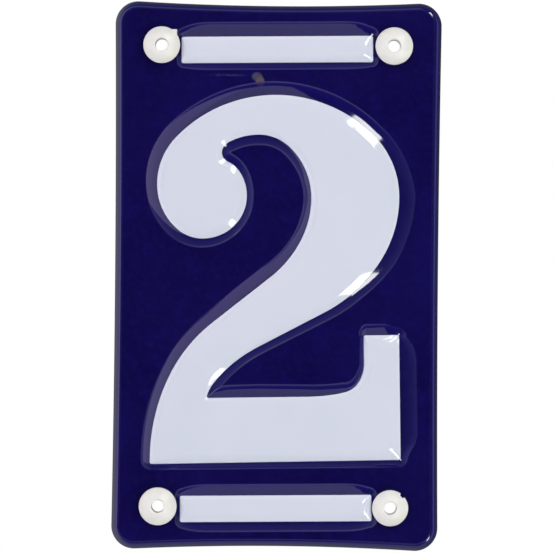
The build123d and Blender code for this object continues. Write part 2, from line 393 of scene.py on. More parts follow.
# %% A shell that grows ring by ring
class Shell:
    """Collects rings of (x, z) points at heights above the wall, and the faces between them."""

    def __init__(self):
        self.points, self.marks, self.faces, self.size = [], [], [], 0
        self.sharp = []

    def ring(self, flat, height, mark=0.0):
        """Adds a ring and returns the numbers of its points. Heights above the wall point to -Y."""
        heights = np.broadcast_to(height, len(flat))
        self.points.append(np.stack([flat[:, 0], -heights, flat[:, 1]], axis=1))
        self.marks.append(np.broadcast_to(mark, len(flat)))
        self.size += len(flat)
        return np.arange(self.size - len(flat), self.size)

    def band(self, one, other):
        """Quads between two rings with as many points: facing forward where the other ring lies outside."""
        quads = np.stack([one, np.roll(one, -1), np.roll(other, -1), other], axis=1)
        self.faces.extend(quads.tolist())

    def bands(self, rings):
        """Bands between each ring and the next."""
        for one, other in zip(rings, rings[1:]):
            self.band(one, other)

    def lid(self, ring, forward):
        """One flat face inside a ring."""
        self.faces.append((ring[::-1] if forward else ring).tolist())

    def field(self, outer, holes, forward):
        """Triangles on the flat between an outer ring and rings inside it."""
        rings = [outer, *holes]
        everything = np.concatenate(self.points)
        numbers = np.concatenate(rings)
        flat = everything[numbers][:, [0, 2]]
        starts = np.cumsum([0] + [len(r) for r in rings])
        loops = [np.arange(len(r)) for r in rings]
        edges = np.concatenate([np.stack([n, np.roll(n, -1)], 1) + s for n, s in zip(loops, starts)])
        made, _, triangles, origin, _, _ = delaunay_2d_cdt(
            [Vector(p) for p in flat.tolist()], edges.tolist(), [], 1, 1e-7
        )
        triangles = np.array(triangles)
        middles = np.array([tuple(p) for p in made])[triangles].mean(1)
        keep = inside(middles, flat[: len(outer)])
        for ring, start in zip(holes, starts[1:]):
            keep &= ~inside(middles, flat[start : start + len(ring)])
        source = numbers[np.array([o[0] for o in origin])]
        chosen = source[triangles[keep]]
        self.faces.extend((chosen if forward else chosen[:, ::-1]).tolist())

    def piece(self, name, body, node, label=None):
        """Makes the mesh in metres at the origin, smooth, ties it to its body and hides its CAD node.

        A label stores the points' marks as an attribute for the finish.
        """
        mesh = bpy.data.meshes.new(name)
        mesh.from_pydata((np.concatenate(self.points) * MM).tolist(), [], self.faces)
        mesh.polygons.foreach_set("use_smooth", np.ones(len(mesh.polygons), bool))
        if self.sharp:
            ends = np.zeros(2 * len(mesh.edges), np.int32)
            mesh.edges.foreach_get("vertices", ends)
            on_crease = np.isin(ends, np.concatenate(self.sharp)).reshape(-1, 2).all(axis=1)
            mesh.edges.foreach_set("use_edge_sharp", on_crease)
        if label:
            marks = np.concatenate(self.marks).astype(np.float32)
            mesh.attributes.new(label, "FLOAT", "POINT").data.foreach_set("value", marks)
        mesh.update()
        made = bpy.data.objects.new(name, mesh)
        bpy.context.scene.collection.objects.link(made)
        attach(made, body)
        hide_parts(node)
        print(name, len(mesh.vertices), "points,", len(mesh.polygons), "faces")
        return made


def inside(points, ring):
    """True for points inside a closed ring: an odd number of its edges lies to their right."""
    start, end = ring[None], np.roll(ring, -1, axis=0)[None]
    x, z = points[:, None, 0], points[:, None, 1]
    crosses = (start[..., 1] > z) != (end[..., 1] > z)
    rise = np.where(crosses, end[..., 1] - start[..., 1], 1.0)
    at_x = start[..., 0] + (z - start[..., 1]) * (end[..., 0] - start[..., 0]) / rise
    return (crosses & (x < at_x)).sum(1) % 2 == 1


# %% [markdown]
# ## The plate's own outline and rim
#
# The long and the short sides draw in a little between the rounded corners, as a sheet does when its middle
# is pressed. Each side is one wide arc whose centre lies outside the plate, and a corner is an arc that
# touches two of them. The rim's section goes round a tight bend, down a flank that flares a little so that
# it leaves the die, across the sheet's edge and up again behind. A Solidify modifier on a bent sheet would
# be another way, but the two faces of the rim have different bends.

# %% Stations of the plate
PLATE_WIDTH, PLATE_HEIGHT, CORNER = 71.5, 119.98, 5.0
SIDE_DRAW, END_DRAW = 0.35, 0.8


def plate_stations():
    """Eight stations where the corner arcs touch the sides.

    A corner's centre lies R + CORNER from the centres of both sides.
    """
    half_x, half_z = PLATE_WIDTH / 2, PLATE_HEIGHT / 2
    corner_x = half_x + 2 * CORNER * SIDE_DRAW / (half_z - 2 * CORNER)
    corner_z = half_z + 2 * CORNER * END_DRAW / (half_x - 2 * CORNER)
    sag_x = corner_x - half_x + SIDE_DRAW
    sag_z = corner_z - half_z + END_DRAW
    side_radius = (corner_z**2 + sag_x**2) / (2 * sag_x)
    end_radius = (corner_x**2 + sag_z**2) / (2 * sag_z)
    side_centre = np.array([half_x - SIDE_DRAW + side_radius, 0])
    end_centre = np.array([0, half_z - END_DRAW + end_radius])
    span = end_centre - side_centre
    length = np.linalg.norm(span)
    reach = (length**2 + (side_radius + CORNER) ** 2 - (end_radius + CORNER) ** 2) / (2 * length)
    off = math.sqrt((side_radius + CORNER) ** 2 - reach**2)
    towards = span / length
    middle = side_centre + towards * reach + off * np.array([-towards[1], towards[0]])
    side_touch = side_centre + (middle - side_centre) * side_radius / (side_radius + CORNER)
    end_touch = end_centre + (middle - end_centre) * end_radius / (end_radius + CORNER)
    lean_x = math.degrees(math.asin(side_touch[1] / side_radius))
    lean_z = math.degrees(math.asin(end_touch[0] / end_radius))
    flip = np.array([1, -1])
    return [
        (end_touch, lean_z),
        (side_touch, -90 - lean_x),
        (side_touch * flip, -90 + lean_x),
        (end_touch * flip, -180 - lean_z),
        (-end_touch, -180 + lean_z),
        (-side_touch, -270 - lean_x),
        (-side_touch * flip, -270 + lean_x),
        (-end_touch * flip, -360 - lean_z),
    ]


plate_points, plate_headings, _, _ = trace(plate_stations())
print("plate outline:", np.ptp(plate_points, axis=0).round(2), "mm")

# %% The rim's section
EDGE_RADIUS, FLARE, LIP, INNER_RADIUS = 0.8, 18.0, 0.15, 0.8
RIM_START, BACK_START = (0.3, 0.12), 0.05


def rim_section():
    """Inset and height along the rim, from the ground round the bend and the edge to the back of the sheet.

    The flank leans outwards by FLARE and touches the bend and the lip: the bend's centre lies
    LIP + (r - LIP) cos f + (GROUND - r - LIP + (r - LIP) sin f) tan f from the edge.
    """

    def arc(inset, height, radius, start, end, count):
        turn = np.radians(np.linspace(start, end, count))
        return np.stack([inset - radius * np.cos(turn), height + radius * np.sin(turn)], 1)

    back = GROUND - SHEET
    lean = math.radians(FLARE)
    smaller = EDGE_RADIUS - LIP
    rise = GROUND - EDGE_RADIUS - LIP + smaller * math.sin(lean)
    bend = LIP + smaller * math.cos(lean) + rise * math.tan(lean)
    return np.concatenate(
        [
            [[bend + gap, GROUND] for gap in RIM_START],
            arc(bend, GROUND - EDGE_RADIUS, EDGE_RADIUS, 90, FLARE, 12),
            arc(LIP, LIP, LIP, FLARE, -90, 5),
            arc(SHEET - LIP, LIP, LIP, -90, -180, 4),
            arc(SHEET + INNER_RADIUS, back - INNER_RADIUS, INNER_RADIUS, 0, 90, 6),
            [[SHEET + INNER_RADIUS + BACK_START, back]],
        ]
    )


print("rim section:", len(rim_section()), "points")

# %% [markdown]
# ## Building the plate
#
# The front runs from each flat top down to the ground, across it to the rim and round to the back. The back
# repeats the front's section one sheet's thickness further in, measured square to the surface, as real
# pressed sheet does. Each point also stores the strength of a painted sheen, a painted reflection: along
# the feet of the pressings, along the rim's bend, and on the flank of the rim, most of all below and on the
# left.

# %% The pressed fields
LAP, FOOT_GAPS, BACK_GAPS = 0.25, (0.1, 0.24), (0.02, 0.1, 0.24)

plate = Shell()
front_feet, back_feet = [], []
for press in pressings:
    tops = [plate.ring(press.ring(press.reach(0) - LAP), PLATEAU)]
    hollow = [plate.ring(press.ring(press.reach(0) - LAP), PLATEAU - SHEET)]
    for share in SHARES:
        u = press.reach(share)
        # The last value is the painted sheen line along the foot, a painted reflection.
        tops.append(plate.ring(press.ring(u), PLATEAU - RELIEF * share**2, press.painted_sheen(press.outer - u)))
    for share in BACK_SHARES:
        u, tilt = press.reach(share), press.tilt(share)
        depth = RELIEF * share**2 + SHEET * np.cos(tilt)
        hollow.append(plate.ring(press.ring(u - SHEET * np.sin(tilt)), PLATEAU - depth))
    plate.sharp.append(tops[-1])
    near, far = FOOT_GAPS
    # The first ring on the ground carries the rest of the painted sheen line.
    tops.append(plate.ring(press.ring(press.outer + near), GROUND, press.painted_sheen(near)))
    tops.append(plate.ring(press.ring(press.outer + far), GROUND))
    hollow += [plate.ring(press.ring(press.outer + gap), GROUND - SHEET) for gap in BACK_GAPS]
    plate.lid(tops[0], forward=True)
    plate.bands(tops)
    plate.bands(hollow[::-1])
    plate.lid(hollow[0], forward=False)
    front_feet.append(tops[-1])
    back_feet.append(hollow[-1])
print("pressed fields:", plate.size, "points")

# %% The rim round the sheet
# Painted sheen on the rim: a painted reflection line where the bend starts, strongest where the rim faces
# down, and a painted sheen on the flank, strongest below and on the left.
RIM_SHEEN_LINE, LINE_ALONE, FLANK_START = (0.0, 0.4, 0.5, 0.1), 0.25, 1.3
FLANK_SHEEN, FLANK_TO_SIDE = 0.315, 0.27

section = rim_section()
rim_sheen_per_ring = np.pad(RIM_SHEEN_LINE, (0, len(section) - len(RIM_SHEEN_LINE)))
rim_out = aside(plate_headings)
facing_down = np.clip(-rim_out[:, 1], 0, 1)
flank_sheen_by_side = FLANK_SHEEN - FLANK_TO_SIDE * rim_out.sum(axis=1)
rim = []
for (inset, height), line in zip(section, rim_sheen_per_ring):
    # Painted sheen: the line across the bend, and the flank lighter below and on the left.
    painted_sheen = line * (LINE_ALONE + (1 - LINE_ALONE) * facing_down) + (inset < FLANK_START) * flank_sheen_by_side
    rim.append(plate.ring(plate_points - rim_out * inset, height, painted_sheen))
plate.bands(rim)
print("rim:", len(rim), "rings of", len(rim[0]), "points")

# %% Holes and flats
HOLE_RADIUS, HOLE_ROUND, HOLE_EASE, HOLE_LAP = 1.95, 0.2, 0.06, 0.3
EYELETS = {"top_left": (-25.52, 50.32), "top_right": (25.28, 50.46)}
EYELETS |= {"bottom_left": (-25.52, -50.5), "bottom_right": (25.25, -50.48)}


def circle(middle, radius, count=64):
    """A clockwise ring of points round a middle."""
    turn = -np.arange(count) / count * 2 * np.pi
    return np.stack([np.cos(turn), np.sin(turn)], 1) * radius + middle


def hole_section():
    """Gap from the hole's radius and height, from the sheet's front to its back with eased edges."""
    front, back = GROUND, GROUND - SHEET
    down = [(HOLE_LAP, front), (HOLE_ROUND, front), (HOLE_EASE, front - HOLE_EASE), (0, front - HOLE_ROUND)]
    out = [(0, back + HOLE_ROUND), (HOLE_EASE, back + HOLE_EASE), (HOLE_ROUND, back), (HOLE_LAP, back)]
    return down + out


front_holes, back_holes = [], []
for spot in EYELETS.values():
    rings = [plate.ring(circle(spot, HOLE_RADIUS + gap), height) for gap, height in hole_section()]
    plate.bands(rings[::-1])
    front_holes.append(rings[0])
    back_holes.append(rings[-1])
plate.field(rim[0], front_feet + front_holes, forward=True)
plate.field(rim[-1], back_feet + back_holes, forward=False)
# The stored marks are the strengths of the painted sheen.
plate_enamel = plate.piece("plate_enamel", "root", "plate", "painted_sheen")

# %% [markdown]
# ## White coats
#
# The white is a thin coat that follows the raised fields and ends a little way over the shoulder, with a
# soft edge where the glass drew together in the kiln. It could be a colour on the plate, but a coat with
# its own thickness catches the light along its edge. Each ring of the coat lies on a ring of the pressing
# below it.

# %% Coats on the raised fields
COAT, ROLL_OFF, SUNK = 0.09, 0.13, 0.05
COAT_SHARES = [-0.1, 0, 0.12, 0.25, 0.38, 0.5, 0.62, 0.72, 0.8, 0.87, 0.92, 0.95, 0.97, 0.985, 0.995, 1.0]


def white_coat(name, node, press):
    """Rings of the pressing from its flat top to the outline, lifted by COAT and rounded off over ROLL_OFF.

    At a distance d from the edge, lift = COAT * sqrt(1 - (1 - d / ROLL_OFF)^2). A second set of rings is
    the sunk underside.
    """
    coat = Shell()
    above, below = [], []
    for share in COAT_SHARES:
        u = -press.inner * (1 - share)
        flat, height = press.ring(u), PLATEAU - press.drop(u)
        lift = COAT * np.sqrt(1 - (1 - np.minimum(-u / ROLL_OFF, 1)) ** 2)
        above.append(coat.ring(flat, height + lift, -u))
        below.append(coat.ring(flat, height - SUNK, -u))
    coat.lid(above[0], forward=True)
    coat.bands(above + [below[-1]])
    coat.bands(below[::-1])
    coat.lid(below[0], forward=False)
    return coat.piece(name, "root", node, "edge")


numeral_white = white_coat("numeral_white", "numeral_glaze", numeral_press)
top_bar_white = white_coat("top_bar_white", "top_bar_glaze", top_bar_press)
bottom_bar_white = white_coat("bottom_bar_white", "bottom_bar_glaze", bottom_bar_press)

# %% [markdown]
# ## Eyelets
#
# A moulded eyelet keeps the screw off the glass. It has a shank in the plate's hole, a neck, and a domed
# head with a rounded lip round the bore. It is a section turned round the screw's axis. The moulding left a
# nib on one head and a notch in another, where it was cut from its neighbour.

# %% Turn the eyelets
HEAD_FOOT, BORE_RADIUS, SHANK_RADIUS, SEAT_RADIUS = 4.95, 1.35, 1.85, 2.3
HEAD_ROUND, BORE_ROUND, CROWN, BORE_TOP = 0.35, 0.28, 6.27, 6.1
CHAMFER, SEAT_EASE, NECK_FILLET, SHANK_TOP = 0.06, 0.03, 0.1, 2.95
DOME_LEAVES, DOME_ARRIVES = np.array([-2.1, 1.3]), np.array([-2.4, 0.25])


def eyelet_section(head):
    """Radius and height round the closed section: shank, seat, neck, underside, edge, dome, lip and bore.

    The dome is a cubic from the edge to the lip, P = h0(s) start + h1(s) leaves + h2(s) end + h3(s) arrives.
    """
    edge_turn = np.radians(np.linspace(-90, 58, 12))
    edge_middle = np.array([head - HEAD_ROUND, HEAD_FOOT + HEAD_ROUND])
    edge = edge_middle + HEAD_ROUND * np.stack([np.cos(edge_turn), np.sin(edge_turn)], 1)
    lip_turn = np.radians(np.linspace(84, 180, 9))
    lip_middle = np.array([BORE_RADIUS + BORE_ROUND, CROWN])
    lip = lip_middle + BORE_ROUND * np.stack([np.cos(lip_turn), np.sin(lip_turn)], 1)
    s = np.linspace(0, 1, 16)[1:-1, None]
    dome = (
        (2 * s**3 - 3 * s**2 + 1) * edge[-1]
        + (s**3 - 2 * s**2 + s) * DOME_LEAVES
        + (3 * s**2 - 2 * s**3) * lip[0]
        + (s**3 - s**2) * DOME_ARRIVES
    )
    shank = [[SHANK_RADIUS - CHAMFER, 0], [SHANK_RADIUS, CHAMFER]]
    shank += [[SHANK_RADIUS, SHANK_TOP], [SHANK_RADIUS, GROUND]]
    seat = [[SEAT_RADIUS - SEAT_EASE, GROUND], [SEAT_RADIUS, GROUND + SEAT_EASE]]
    neck = [[SEAT_RADIUS, HEAD_FOOT - NECK_FILLET], [SEAT_RADIUS + NECK_FILLET, HEAD_FOOT]]
    bore = [[BORE_RADIUS, BORE_TOP], [BORE_RADIUS, GROUND]]
    bore += [[BORE_RADIUS, CHAMFER], [BORE_RADIUS + CHAMFER, 0]]
    return np.concatenate([shank, seat, neck, edge, dome, lip, bore])


print("eyelet section:", len(eyelet_section(4.0)), "points")

# %% Gate marks
TURN_POINTS, QUADRANT = 360, 0.05
NOTCH_TURN, NOTCH_HALF, NOTCH_SOFT = 46.0, 8.0, 1.5
MARK_BAND, MARK_TOP, MARK_FADE, MARK_EASE = 0.75, 5.75, 0.25, 0.2
angle = -np.arange(TURN_POINTS) / TURN_POINTS * 2 * np.pi
round_about = np.stack([np.cos(angle), np.sin(angle)], 1)


def nib(corner, head):
    """How far a square nib stands out beyond the head at each angle: min(x / cos a, z / sin a) - head."""
    first = (round_about > QUADRANT).all(axis=1)
    reach = np.min(np.array(corner) / np.where(first[:, None], round_about, 1), axis=1)
    return np.where(first, np.clip(reach - head, 0, None), 0)


def notch(depth):
    """How far a notch stands in at each angle: its depth, and nought NOTCH_HALF degrees off its middle."""
    off = np.abs((np.degrees(angle) - NOTCH_TURN + 180) % 360 - 180)
    return -depth * np.clip((NOTCH_HALF - off) / NOTCH_SOFT, 0, 1)


def turned_eyelet(name, node, middle, head, mark):
    """P = middle + r (cos a, sin a), with r changed by the gate mark on the head's edge only."""
    shell = Shell()
    rings = []
    for radius, height in eyelet_section(head):
        outside = np.clip((radius - head + MARK_BAND) / MARK_FADE, 0, 1)
        below = np.clip((MARK_TOP - height) / MARK_EASE, 0, 1)
        far = radius + mark * outside * below
        rings.append(shell.ring(round_about * far[:, None] + middle, height))
    shell.bands(rings[::-1] + [rings[-1]])
    return shell.piece(name, "root", node)


heads = {"top_left": 4.02, "top_right": 4.1, "bottom_left": 4.14, "bottom_right": 3.95}
gates = {corner: np.zeros(TURN_POINTS) for corner in EYELETS}
gates["top_left"] = nib((3.35, 3.42), heads["top_left"])
gates["bottom_right"] = notch(0.5)
eyelets = []
for corner, spot in EYELETS.items():
    made = turned_eyelet(f"eyelet_{corner}_nylon", f"eyelet_{corner}", spot, heads[corner], gates[corner])
    eyelets.append(made)

# %% [markdown]
# ## Node helpers
#
# The finishes are built from nodes on Object coordinates, in metres. Noise gives the slow change of colour
# in fired glass, and a few spots measured from the middle of a mark give the single flaws that this plaque
# shows.

# %% Small helpers for node trees
SPOT_DEPTH = 20


def new_finish(name):
    """A material with its node tree emptied, its Principled shader and its Object coordinates."""
    finish = bpy.data.materials.new(name)
    finish.use_nodes = True
    tree = finish.node_tree
    tree.nodes.clear()
    output = tree.nodes.new("ShaderNodeOutputMaterial")
    shader = tree.nodes.new("ShaderNodeBsdfPrincipled")
    tree.links.new(shader.outputs["BSDF"], output.inputs["Surface"])
    place = tree.nodes.new("ShaderNodeTexCoord").outputs["Object"]
    return finish, tree, shader, place


def noise(tree, place, scale, detail=3.0, roughness=0.5):
    """Value of a noise with so many waves to the metre."""
    node = tree.nodes.new("ShaderNodeTexNoise")
    node.inputs["Scale"].default_value = scale
    node.inputs["Detail"].default_value = detail
    node.inputs["Roughness"].default_value = roughness
    tree.links.new(place, node.inputs["Vector"])
    return node.outputs["Fac"]


def ramp(tree, value, low, high, to_low=0.0, to_high=1.0):
    """Straight change from to_low to to_high between low and high, held outside them."""
    node = tree.nodes.new("ShaderNodeMapRange")
    for label, number in zip(("From Min", "From Max", "To Min", "To Max"), (low, high, to_low, to_high)):
        node.inputs[label].default_value = number
    tree.links.new(value, node.inputs["Value"])
    return node.outputs["Result"]


def worked_out(tree, operation, *values):
    """Result of one Math node. Each value is a socket or a number."""
    node = tree.nodes.new("ShaderNodeMath")
    node.operation = operation
    for socket, value in zip(node.inputs, values):
        if isinstance(value, (int, float)):
            socket.default_value = value
        else:
            tree.links.new(value, socket)
    return node.outputs[0]


def times(tree, first, *others):
    """Product of two or more values."""
    for other in others:
        first = worked_out(tree, "MULTIPLY", first, other)
    return first


def towards_front(tree, direction):
    """Cosine of the angle between a direction and the front, -Y."""
    node = tree.nodes.new("ShaderNodeVectorMath")
    node.operation = "DOT_PRODUCT"
    tree.links.new(direction, node.inputs[0])
    node.inputs[1].default_value = (0, -1, 0)
    return node.outputs["Value"]


def apart(tree, place):
    """The X, Y and Z of a place."""
    node = tree.nodes.new("ShaderNodeSeparateXYZ")
    tree.links.new(place, node.inputs["Vector"])
    return node.outputs


def stored(tree, label):
    """Value that was stored with the points under a label."""
    node = tree.nodes.new("ShaderNodeAttribute")
    node.attribute_name = label
    return node.outputs["Fac"]


def mixed(tree, factor, one, other):
    """Colour between one and other. Each is a socket or three numbers."""
    node = tree.nodes.new("ShaderNodeMix")
    node.data_type = "RGBA"
    tree.links.new(factor, node.inputs["Factor"])
    for label, value in ((6, one), (7, other)):
        if isinstance(value, tuple):
            node.inputs[label].default_value = (*value, 1.0)
        else:
            tree.links.new(value, node.inputs[label])
    return node.outputs[2]


def spot_mask(tree, place, middle, size, soft=0.5):
    """One inside an ellipse on the front, falling to nought at its edge. Middle and size are in mm."""
    mapping = tree.nodes.new("ShaderNodeMapping")
    mapping.vector_type = "TEXTURE"
    mapping.inputs["Location"].default_value = (middle[0] * MM, -PLATEAU * MM, middle[1] * MM)
    mapping.inputs["Scale"].default_value = (size[0] * MM, SPOT_DEPTH * MM, size[1] * MM)
    tree.links.new(place, mapping.inputs["Vector"])
    length = tree.nodes.new("ShaderNodeVectorMath")
    length.operation = "LENGTH"
    tree.links.new(mapping.outputs["Vector"], length.inputs[0])
    return ramp(tree, length.outputs["Value"], 1.0 - soft, 1.0, 1.0, 0.0)


def bump(tree, shader, height, distance):
    """Tilts the shading as such heights would. Distance is the height in metres of one unit."""
    node = tree.nodes.new("ShaderNodeBump")
    node.inputs["Strength"].default_value = 1.0
    node.inputs["Distance"].default_value = distance
    tree.links.new(height, node.inputs["Height"])
    tree.links.new(node.outputs["Normal"], shader.inputs["Normal"])


print("node helpers ready")

# %% [markdown]
# ## Blue enamel
#
# Cobalt glass over steel is almost black in the shade and deep violet blue in the light. Its surface is
# fire polished, so it is very smooth, with a slow ripple from the way that the glass flowed. It is brighter
# on walls and bends, the steeper the brighter. Pale lines along the feet and the rim's bend, and the pale
# flank of the rim, are painted sheen: painted reflections, stored with the points. Towards the wall it turns
# nearly black. A few pale specks of ash lie in it, and one brown chip with a pale upper rim sits above the
# numeral. The slope and the stored sheen drive these changes, so they follow the form.

# %% Blue enamel
DEEP_BLUE, PLAIN_BLUE, PATCH_BLUE = (0.0031, 0.0014, 0.052), (0.0052, 0.0029, 0.072), (0.0054, 0.0029, 0.096)
FINE_BLUE, WALL_BLUE, BEND_BLUE = (0.010, 0.008, 0.085), (0.0056, 0.0034, 0.116), (0.012, 0.010, 0.17)
# The first colour on the next line is the painted sheen: painted reflections along the feet and on the rim.
PAINTED_SHEEN_BLUE, NEAR_WALL_BLACK = (0.042, 0.037, 0.150), (0.012, 0.012, 0.022)
# The second colour on the line above, and these heights in mm: the blue turns nearly black towards the wall.
DARK_FROM, DARK_BELOW = 1.6, 0.6
ASH, ASH_CELLS, STREAK = (0.060, 0.058, 0.13), 62.0, (0.060, 0.056, 0.13)
STREAK_SPOT = ((-11.2, 43.9), (5.0, 0.36))
CHIP = (
    ((-4.6, 43.6), (1.35, 1.1), (0.060, 0.054, 0.105)),
    ((-3.95, 42.5), (1.15, 1.3), (0.095, 0.075, 0.080)),
)
ENAMEL_IOR, RIPPLE, RIPPLE_HEIGHT = 1.6, 220.0, 0.000005


def blue_enamel():
    """Blue glass: slow, patchy and fine changes of colour, the flaws, then what follows from the form."""
    finish, tree, shader, place = new_finish("blue_enamel")
    slow, patchy = noise(tree, place, 45.0, 2.0), noise(tree, place, 260.0, 3.0)
    fine = noise(tree, place, 900.0, 4.0)
    colour = mixed(tree, ramp(tree, slow, 0.3, 0.7), DEEP_BLUE, PLAIN_BLUE)
    colour = mixed(tree, ramp(tree, patchy, 0.5, 0.75, 0.0, 0.6), colour, PATCH_BLUE)
    colour = mixed(tree, ramp(tree, fine, 0.45, 0.8, 0.0, 0.35), colour, FINE_BLUE)
    cells = tree.nodes.new("ShaderNodeTexVoronoi")
    cells.inputs["Scale"].default_value = ASH_CELLS
    tree.links.new(place, cells.inputs["Vector"])
    colour = mixed(tree, ramp(tree, cells.outputs["Distance"], 0.012, 0.026, 0.55, 0.0), colour, ASH)
    streak = times(tree, spot_mask(tree, place, *STREAK_SPOT, 0.9), ramp(tree, fine, 0.3, 0.55, 0.0, 0.5))
    colour = mixed(tree, streak, colour, STREAK)
    for middle, size, paint in CHIP:
        chip = times(tree, spot_mask(tree, place, middle, size, 0.35), ramp(tree, fine, 0.3, 0.5, 0.6, 1.0))
        colour = mixed(tree, chip, colour, paint)
    slope = towards_front(tree, tree.nodes.new("ShaderNodeNewGeometry").outputs["Normal"])
    # Brighter blue on steeper surfaces: the walls, and more on the bends.
    colour = mixed(tree, ramp(tree, slope, 0.85, 0.985, 0.75, 0.0), colour, WALL_BLUE)
    colour = mixed(tree, ramp(tree, slope, 0.45, 0.85, 0.8, 0.0), colour, BEND_BLUE)
    # Painted sheen: the stored strength mixes in the paler blue, a painted reflection.
    painted_sheen = stored(tree, "painted_sheen")
    colour = mixed(tree, painted_sheen, colour, PAINTED_SHEEN_BLUE)
    # The colour turns nearly black towards the wall, over the last 1.6 mm of height.
    near_wall = ramp(tree, apart(tree, place)["Y"], -DARK_FROM * MM, -DARK_BELOW * MM)
    colour = mixed(tree, near_wall, colour, NEAR_WALL_BLACK)
    tree.links.new(colour, shader.inputs["Base Color"])
    tree.links.new(ramp(tree, painted_sheen, 0.0, 0.8, 0.06, 0.18), shader.inputs["Roughness"])
    shader.inputs["IOR"].default_value = ENAMEL_IOR
    bump(tree, shader, noise(tree, place, RIPPLE, 2.0), RIPPLE_HEIGHT)
    return finish


plate_enamel.data.materials.append(blue_enamel())
print("blue enamel on", plate_enamel.name)

# %% [markdown]
# ## White enamel
#
# The white is opaque tin or titanium glass with a cool cast. It is a little brighter along its edge. The
# distance from that edge is stored with each coat's points.

# %% White enamel
COOL_WHITE, PLAIN_WHITE = (0.645, 0.688, 0.762), (0.672, 0.702, 0.786)
FINE_WHITE, EDGE_WHITE = (0.655, 0.706, 0.786), (0.705, 0.748, 0.850)


def white_enamel():
    """White glass: slow and fine changes of colour, and a brighter edge."""
    finish, tree, shader, place = new_finish("white_enamel")
    slow, fine = noise(tree, place, 60.0, 2.0), noise(tree, place, 700.0, 3.0)
    colour = mixed(tree, ramp(tree, slow, 0.3, 0.7), COOL_WHITE, PLAIN_WHITE)
    colour = mixed(tree, ramp(tree, fine, 0.4, 0.8, 0.0, 0.25), colour, FINE_WHITE)
    colour = mixed(tree, ramp(tree, stored(tree, "edge"), 0.1, 0.9, 0.55, 0.0), colour, EDGE_WHITE)
    tree.links.new(colour, shader.inputs["Base Color"])
    tree.links.new(ramp(tree, fine, 0.3, 0.7, 0.03, 0.06), shader.inputs["Roughness"])
    shader.inputs["IOR"].default_value = ENAMEL_IOR
    bump(tree, shader, noise(tree, place, RIPPLE, 2.0), RIPPLE_HEIGHT)
    return finish


white = white_enamel()
for coat in (numeral_white, top_bar_white, bottom_bar_white):
    coat.data.materials.append(white)
print("white enamel on 3 coats")

# %% [markdown]
# ## Nylon
#
# The eyelets are milky, warm white and only half glossy. A little light goes into the plastic and comes out
# again nearby, which softens the shading of such small pieces, so the shader gets a short subsurface
# radius.

# %% Eyelet plastic
MILKY, CLOUDY = (0.790, 0.788, 0.728), (0.832, 0.830, 0.770)
NYLON_IOR, GLOW_WEIGHT, GLOW_REACH, GLOW_TINT = 1.53, 0.25, 0.0006, (1.0, 0.9, 0.8)
GRAIN, GRAIN_HEIGHT = 1500.0, 0.000008


def eyelet_nylon():
    """Milky nylon: a cloudy colour, a half gloss and a little light that spreads inside."""
    finish, tree, shader, place = new_finish("eyelet_nylon")
    cloud = noise(tree, place, 500.0, 3.0)
    colour = mixed(tree, ramp(tree, cloud, 0.3, 0.7), MILKY, CLOUDY)
    tree.links.new(colour, shader.inputs["Base Color"])
    tree.links.new(ramp(tree, cloud, 0.3, 0.7, 0.28, 0.40), shader.inputs["Roughness"])
    shader.inputs["IOR"].default_value = NYLON_IOR
    shader.inputs["Subsurface Weight"].default_value = GLOW_WEIGHT
    shader.inputs["Subsurface Radius"].default_value = GLOW_TINT
    shader.inputs["Subsurface Scale"].default_value = GLOW_REACH
    bump(tree, shader, noise(tree, place, GRAIN, 2.0), GRAIN_HEIGHT)
    return finish


nylon = eyelet_nylon()
for eyelet in eyelets:
    eyelet.data.materials.append(nylon)
print("nylon on", len(eyelets), "eyelets")

# %% [markdown]
# ## Floor and surroundings
#
# The photograph's background is plain white. A pale floor lies below and behind the plaque, out of the
# camera's view, and takes its shadow when the plaque is seen from above. To the camera it glows a little,
# so that it is as pale as the rest, and the gloss doesn't mirror it. The world is white to the camera. In
# front it is dim, as a studio is round the lens, because glossy enamel mirrors whatever stands there. It is
# dimmed overhead and underneath, and in mirrored rays behind the plaque too, most on the right, which
# leaves the flank of the rim dark.

# %% Floor
FLOOR_MIDDLE, FLOOR_RADIUS, FLOOR_HEIGHT, FLOOR_SIDES = (0, 1.5), 1.4, -0.2, 96
FLOOR_WHITE, FLOOR_ROUGHNESS, FLOOR_GLOW = (0.9, 0.9, 0.9, 1.0), 0.9, 0.5

floor_mesh = bpy.data.meshes.new("floor")
floor_ring = circle(FLOOR_MIDDLE, FLOOR_RADIUS, FLOOR_SIDES)[::-1]
floor_points = np.column_stack([floor_ring, np.full(FLOOR_SIDES, FLOOR_HEIGHT)])
floor_mesh.from_pydata(floor_points.tolist(), [], [list(range(FLOOR_SIDES))])
floor = bpy.data.objects.new("floor", floor_mesh)
bpy.context.scene.collection.objects.link(floor)
floor.visible_glossy = False
floor_finish, floor_tree, floor_shader, _ = new_finish("floor_paper")
floor_shader.inputs["Base Color"].default_value = FLOOR_WHITE
floor_shader.inputs["Roughness"].default_value = FLOOR_ROUGHNESS
floor_shader.inputs["Emission Color"].default_value = (1.0, 1.0, 1.0, 1.0)
to_camera = floor_tree.nodes.new("ShaderNodeLightPath").outputs["Is Camera Ray"]
floor_tree.links.new(times(floor_tree, to_camera, FLOOR_GLOW), floor_shader.inputs["Emission Strength"])
floor_mesh.materials.append(floor_finish)
print("floor at", FLOOR_HEIGHT, "m")

# %% World
GLOW_STOPS = [(0.0, 0.02), (0.12, 0.03), (0.25, 0.10), (0.36, 0.25), (0.5, 0.50), (0.58, 1.0), (1.0, 1.0)]
OVERHEAD, UNDERNEATH = (0.25, 0.7, 1.0, 0.2), (-0.95, -0.5, 0.55, 1.0)
BEHIND, TO_RIGHT = (0.57, 0.66), (-0.5, 0.5, 0.74, 0.96)

